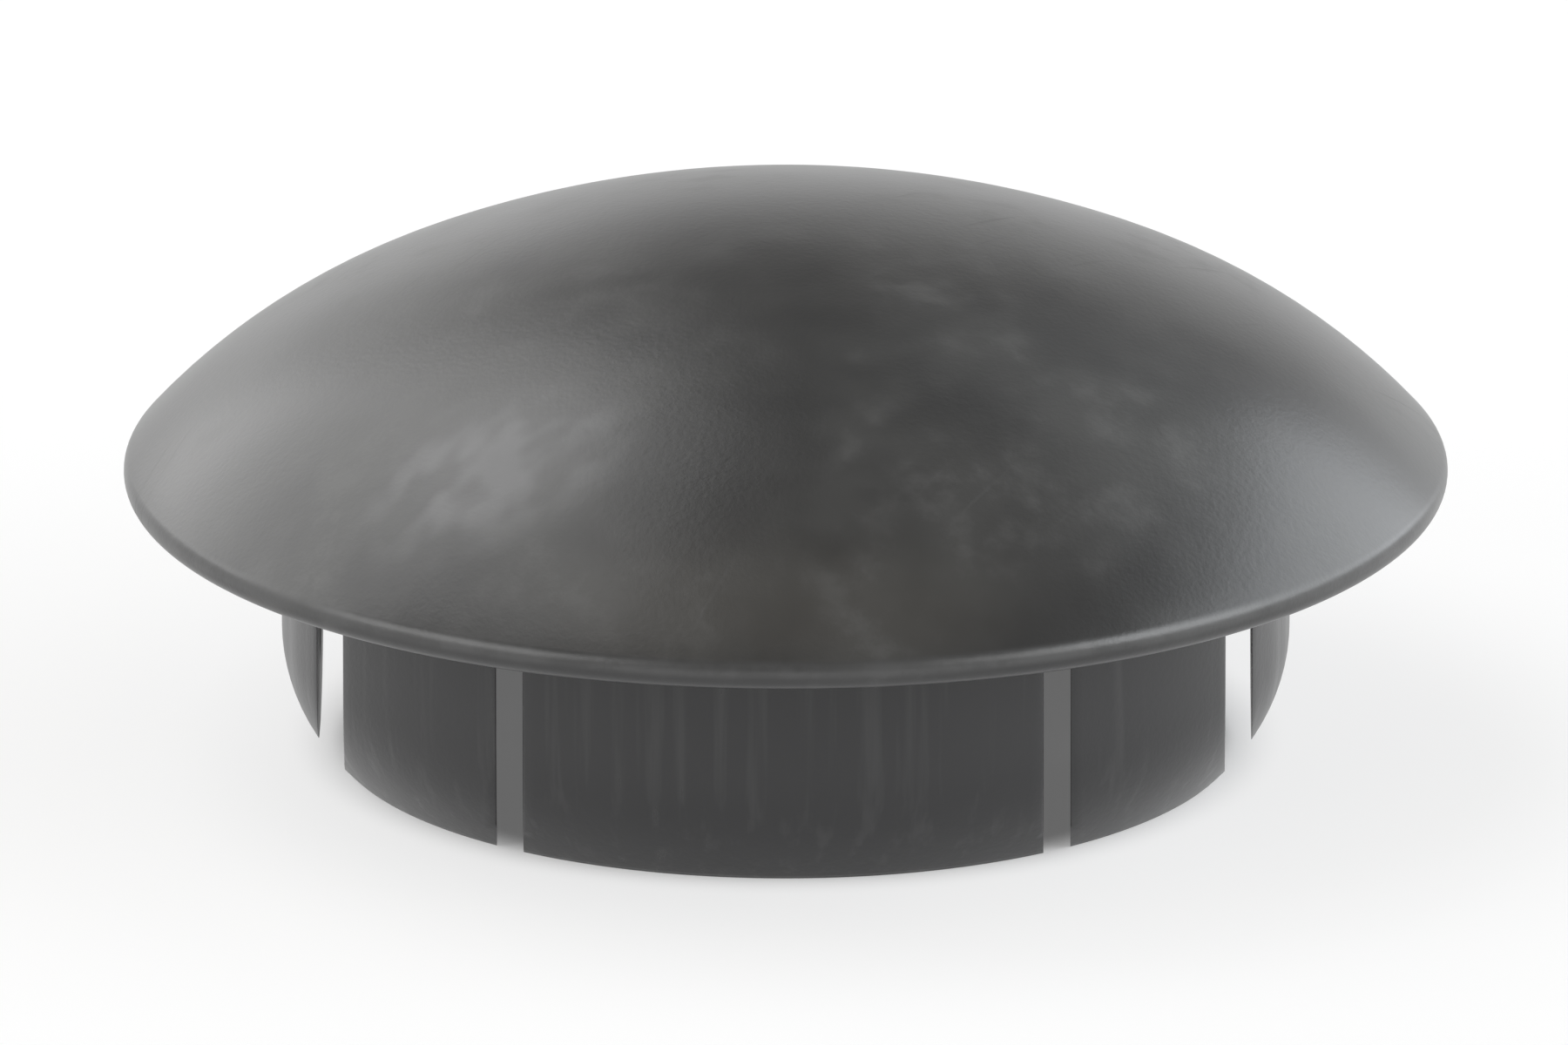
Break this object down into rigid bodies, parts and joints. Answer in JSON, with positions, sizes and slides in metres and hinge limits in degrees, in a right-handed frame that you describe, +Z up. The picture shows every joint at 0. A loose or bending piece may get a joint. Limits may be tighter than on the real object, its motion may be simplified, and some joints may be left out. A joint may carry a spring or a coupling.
{
  "type": "tensioner spring cap",
  "caption": "Domed push-in cap of dark plastic with a thin rim and a slotted spring skirt that closes the bore over a tensioner spring.",
  "frame": {"origin": "centre of the skirt's bottom edge, which the cap stands on", "axes": "+Z up the cap's axis to the crown, Y along the skirt's slots, and X across them"},
  "size_m": [0.0394, 0.0394, 0.0163],
  "materials": {
    "cap_plastic": "satin"
  },
  "bodies": {
    "root": {"cap": "cap_plastic"}
  },
  "joints": []
}
